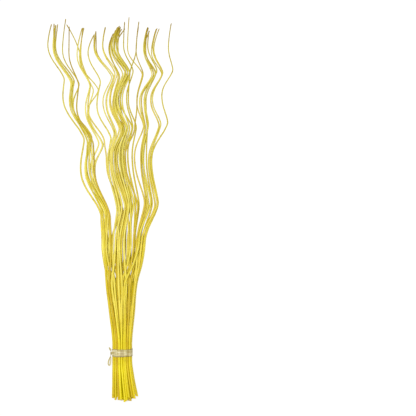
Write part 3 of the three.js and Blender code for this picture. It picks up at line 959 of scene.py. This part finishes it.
def path_through(points, count):
    """A smooth open path through a few points, with evenly spaced samples."""
    p = np.array(points, dtype=float)
    p = np.vstack([2 * p[0] - p[1], p, 2 * p[-1] - p[-2]])
    samples = []
    for i in range(1, len(p) - 2):
        samples += [between(*p[i - 1 : i + 3], u) for u in np.linspace(0, 1, STEP_SAMPLES, endpoint=False)]
    samples = np.array([*samples, p[-2]])
    lengths = np.concatenate([[0], np.cumsum(np.linalg.norm(np.diff(samples, axis=0), axis=1))])
    s = np.linspace(0, lengths[-1], count)
    return np.column_stack([np.interp(s, lengths, samples[:, k]) for k in range(3)])


# %% The loose ends
KNOT_OUT = 0.0018  # from the outline of the bunch to the knot's middle
KNOT_LOW = 0.001  # below the tie's middle
STEP_UNIT = 0.001  # the steps below are in millimetres
END_POINTS = 90
# The loose ends get almost none of the painted gap shade.
END_CONTACT = 0.8  # nearly as pale as where the band lies on a stem
# The loose ends have only faintly darkened edges, so little painted edge shade.
END_ROLLED_AND_SHADED = 0.2

leftmost = loop[np.argmin(loop[:, 0])]
knot = Vector((leftmost[0] - KNOT_OUT, TIE_Y - KNOT_LOW, leftmost[1]))
print("knot at", tuple(round(v, 4) for v in knot))


def loose_end(name, steps, widths, facing, width, seed):
    """A strip along steps from the knot. widths and facing hold its width and its outward side on the way."""
    line = path_through(np.array(knot) + STEP_UNIT * np.array(steps), END_POINTS)
    share = np.linspace(0, 1, END_POINTS)
    places = np.linspace(0, 1, len(facing))
    outward = np.column_stack([np.interp(share, places, [way[k] for way in facing]) for k in range(3)])
    outward /= np.linalg.norm(outward, axis=1)[:, None]
    gather = np.interp(share, np.linspace(0, 1, len(widths)), widths)
    settings = {
        "Width": width,
        "Thickness": 0.0006,
        "Section points": 32,
        "Seed": seed,
        "Fold height": 0.0004,
        "Edge curl": 0.0002,
    }
    contact = np.full(END_POINTS, END_CONTACT)
    return make_strip(name, line, outward, gather, contact, END_ROLLED_AND_SHADED, False, settings)


upper_end = loose_end(
    "raffia_upper_end",
    steps=[
        (1.9, -1.6, -4.2), (0.3, -1.8, -2.6), (-0.8, -0.6, -0.6), (-0.9, 2.4, 1.2),
        (-1.2, 5.6, 1.8), (-2.2, 8.8, 1.6), (-4.6, 12.2, 0.9),
    ],
    widths=[1.2, 0.9, 0.7, 0.9, 1.3, 1.1, 0.1],
    facing=[(-0.5, 0, -1), (-1, 0, -0.3), (-1, 0, 0.4), (-0.5, 0, 1), (-0.3, 0, 1)],
    width=0.0034,
    seed=21.0,
)
lower_end = loose_end(
    "raffia_lower_end",
    steps=[
        (1.6, 1.8, 3.4), (0.4, 1.4, 2.2), (-0.7, 0.4, 1.0), (-1.1, -1.8, 0.2),
        (-1.2, -4.6, 0.0), (-2.2, -8.4, 0.0), (-4.0, -13.0, -0.8), (-5.6, -18.0, -1.8),
        (-5.8, -22.0, -2.6), (-4.4, -24.4, -3.0), (-2.4, -22.6, -3.0), (-1.4, -17.5, -2.6),
        (-0.9, -12.0, -2.2), (-0.7, -7.0, -2.0),
    ],
    widths=[1.2, 0.9, 0.7, 0.8, 0.9, 1.0, 1.0, 1.0, 1.0, 0.95, 0.9, 0.85, 0.75, 0.6],
    facing=[
        (0, 0, 1), (-1, 0, 0.5), (-0.8, 0, 0.8), (-0.3, 0, 1),
        (-0.6, 0, 0.8), (-0.2, 0, 1), (0.2, 0, 1), (0, 0, 1),
    ],
    width=0.0030,
    seed=35.0,
)
print("loose ends:", len(upper_end.data.polygons) + len(lower_end.data.polygons), "faces")

# %% [markdown]
# ## Light
#
# A bunch in a catalogue lies on white under soft light from above, and its own shadow is barely seen. One
# square lamp hangs high above, a little to the upper left, so each rod is bright along its middle and deeper
# at its sides. The world's white fills the rest, and is kept low enough that the gaps between the rods stay
# dark.

# %% Lamp and world
LAMP_PLACE = Vector((-0.22, 0.25, 2.6))  # from the middle of the view
LAMP_SIZE = 0.5
LAMP_POWER = 66.0
WORLD_STRENGTH = 0.32

lamp_data = bpy.data.lights.new("key_light", "AREA")
lamp_data.shape = "SQUARE"
lamp_data.size = LAMP_SIZE
lamp_data.energy = LAMP_POWER
lamp = bpy.data.objects.new("key_light", lamp_data)
scene.collection.objects.link(lamp)
lamp.location = look_at + LAMP_PLACE
lamp.rotation_euler = (-LAMP_PLACE).to_track_quat("-Z", "Y").to_euler()

world = bpy.data.worlds.new("white_room")
world.use_nodes = True
background = world.node_tree.nodes["Background"]
background.inputs["Color"].default_value = WHITE
background.inputs["Strength"].default_value = WORLD_STRENGTH
scene.world = world
scene.view_settings.view_transform = "Standard"
print("lamp", LAMP_POWER, "W, world", WORLD_STRENGTH)
